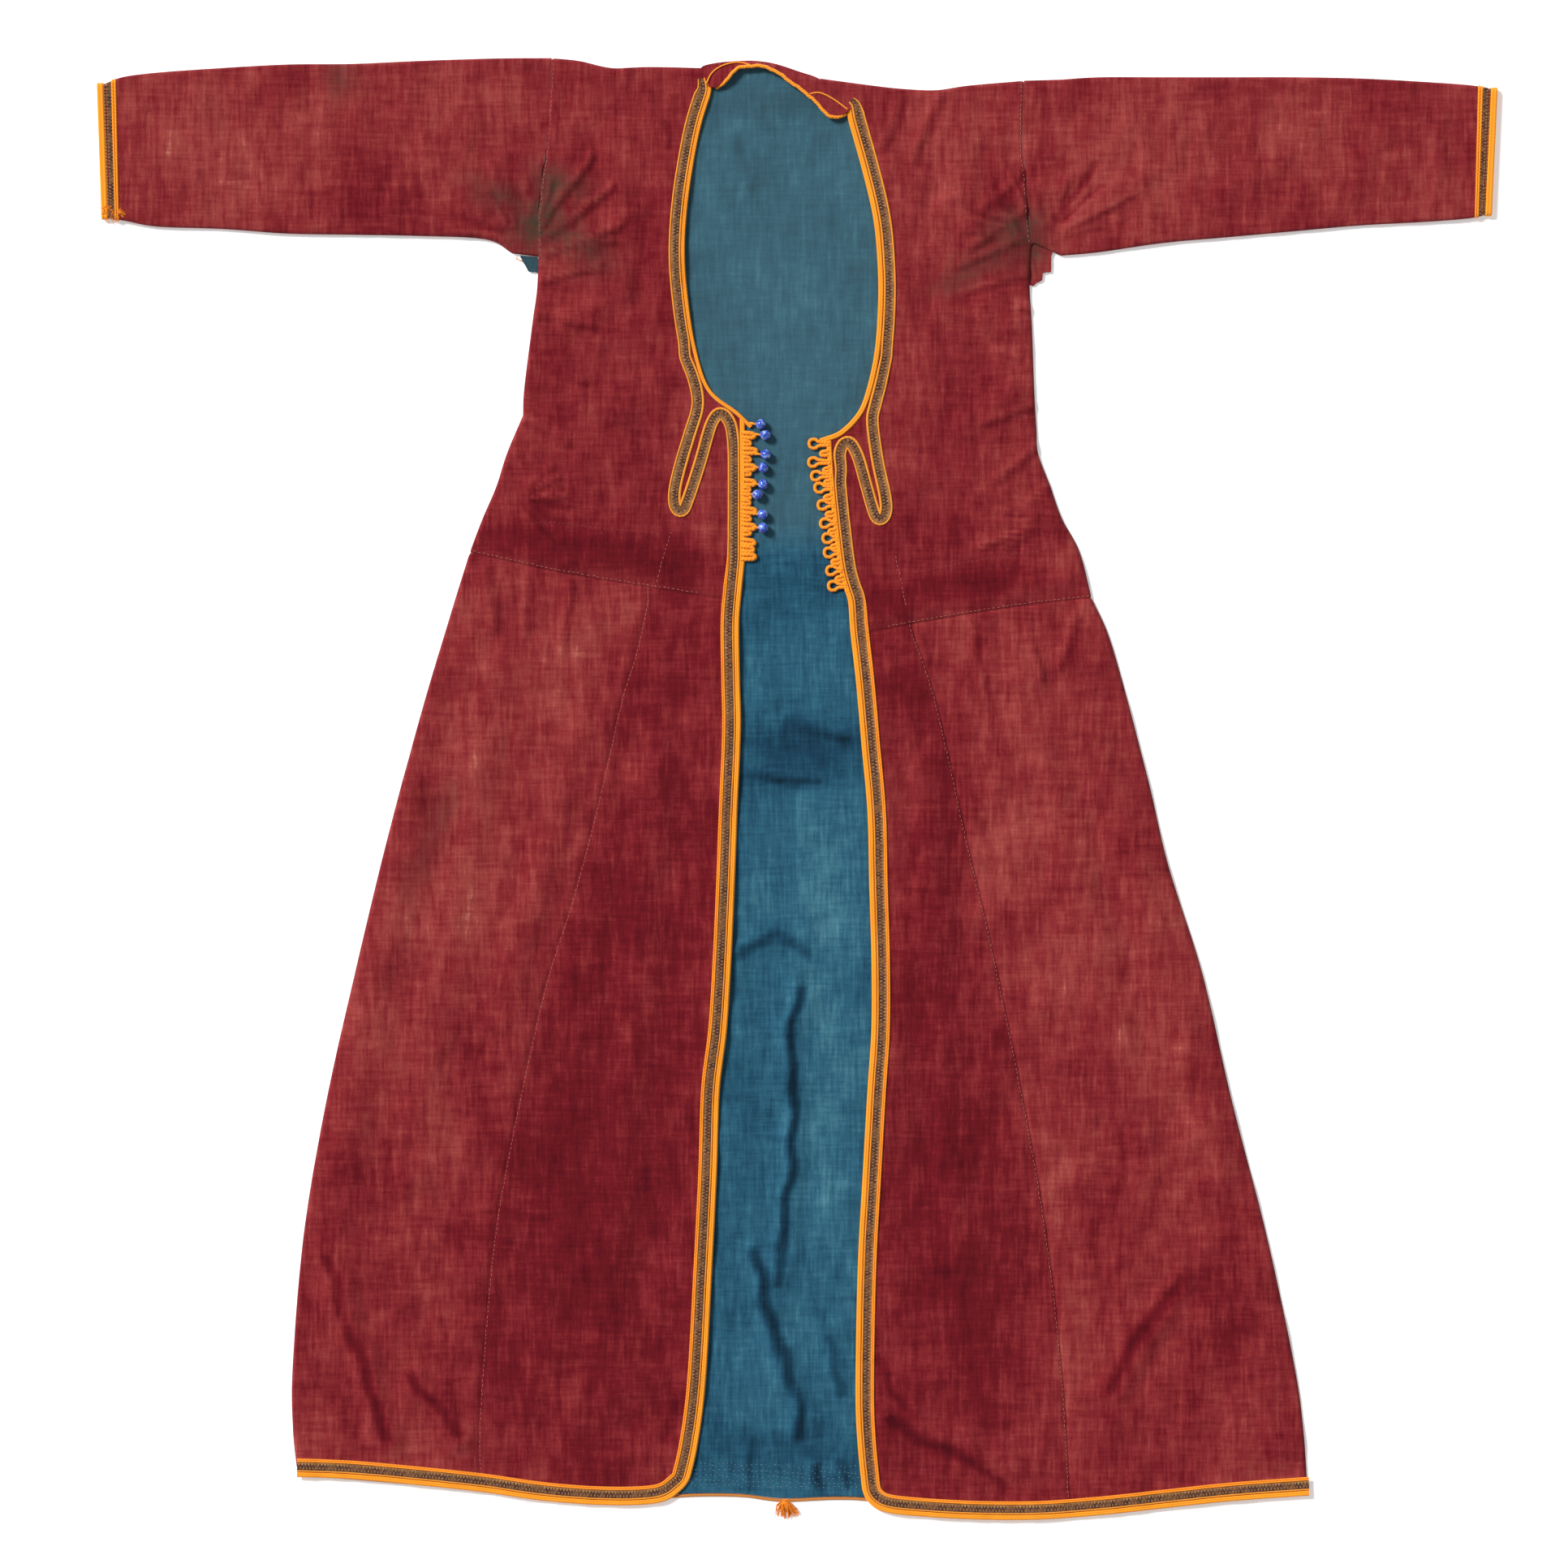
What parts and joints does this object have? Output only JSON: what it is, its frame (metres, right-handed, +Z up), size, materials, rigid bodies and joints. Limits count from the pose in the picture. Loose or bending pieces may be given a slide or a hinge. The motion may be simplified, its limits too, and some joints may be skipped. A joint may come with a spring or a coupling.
{
  "type": "long open-front coat",
  "caption": "Long open-fronted cotton coat with straight sleeves, laid flat front up, with braided edges, patterned tape, bead buttons and cord loops",
  "frame": {"origin": "on the surface, under the middle of the coat's outline", "axes": "+X to the right as seen from above, +Y towards the neck, +Z up from the surface"},
  "size_m": [1.2076, 1.2609, 0.0118],
  "materials": {
    "red_cotton": "faded plain weave cotton",
    "blue_lining": "faded indigo plain weave cotton",
    "orange_braid": "bright braided cord",
    "dark_tape": "woven dark tape with ochre cords",
    "gold_cord": "twisted ochre cord",
    "blue_glass": "glossy"
  },
  "bodies": {
    "root": {"back": "red_cotton", "bodice_left": "red_cotton", "bodice_right": "red_cotton", "skirt_front_left": "red_cotton", "skirt_front_right": "red_cotton", "skirt_gore_left": "red_cotton", "skirt_gore_right": "red_cotton", "sleeve_left": "red_cotton", "sleeve_right": "red_cotton", "gusset_right": "red_cotton", "collar_band": "red_cotton", "back_lining": "blue_lining", "gusset_left": "blue_lining", "neck_braid_left": "orange_braid", "neck_braid_right": "orange_braid", "front_braid_left": "orange_braid", "front_braid_right": "orange_braid", "cuff_edge_left": "orange_braid", "cuff_edge_right": "orange_braid", "frill_left": "orange_braid", "loop_strip_right": "orange_braid", "loop_1": "orange_braid", "loop_2": "orange_braid", "loop_3": "orange_braid", "loop_4": "orange_braid", "loop_5": "orange_braid", "loop_6": "orange_braid", "loop_7": "orange_braid", "loop_8": "orange_braid", "loop_9": "orange_braid", "loop_10": "orange_braid", "tape_left": "dark_tape", "tape_right": "dark_tape", "cuff_tape_left": "dark_tape", "cuff_tape_right": "dark_tape", "collar_cord": "gold_cord", "hem_cord_back": "gold_cord", "tassel": "gold_cord", "bead_1": "blue_glass", "bead_2": "blue_glass", "bead_3": "blue_glass", "bead_4": "blue_glass", "bead_5": "blue_glass", "bead_6": "blue_glass", "bead_7": "blue_glass", "bead_8": "blue_glass"}
  },
  "joints": []
}
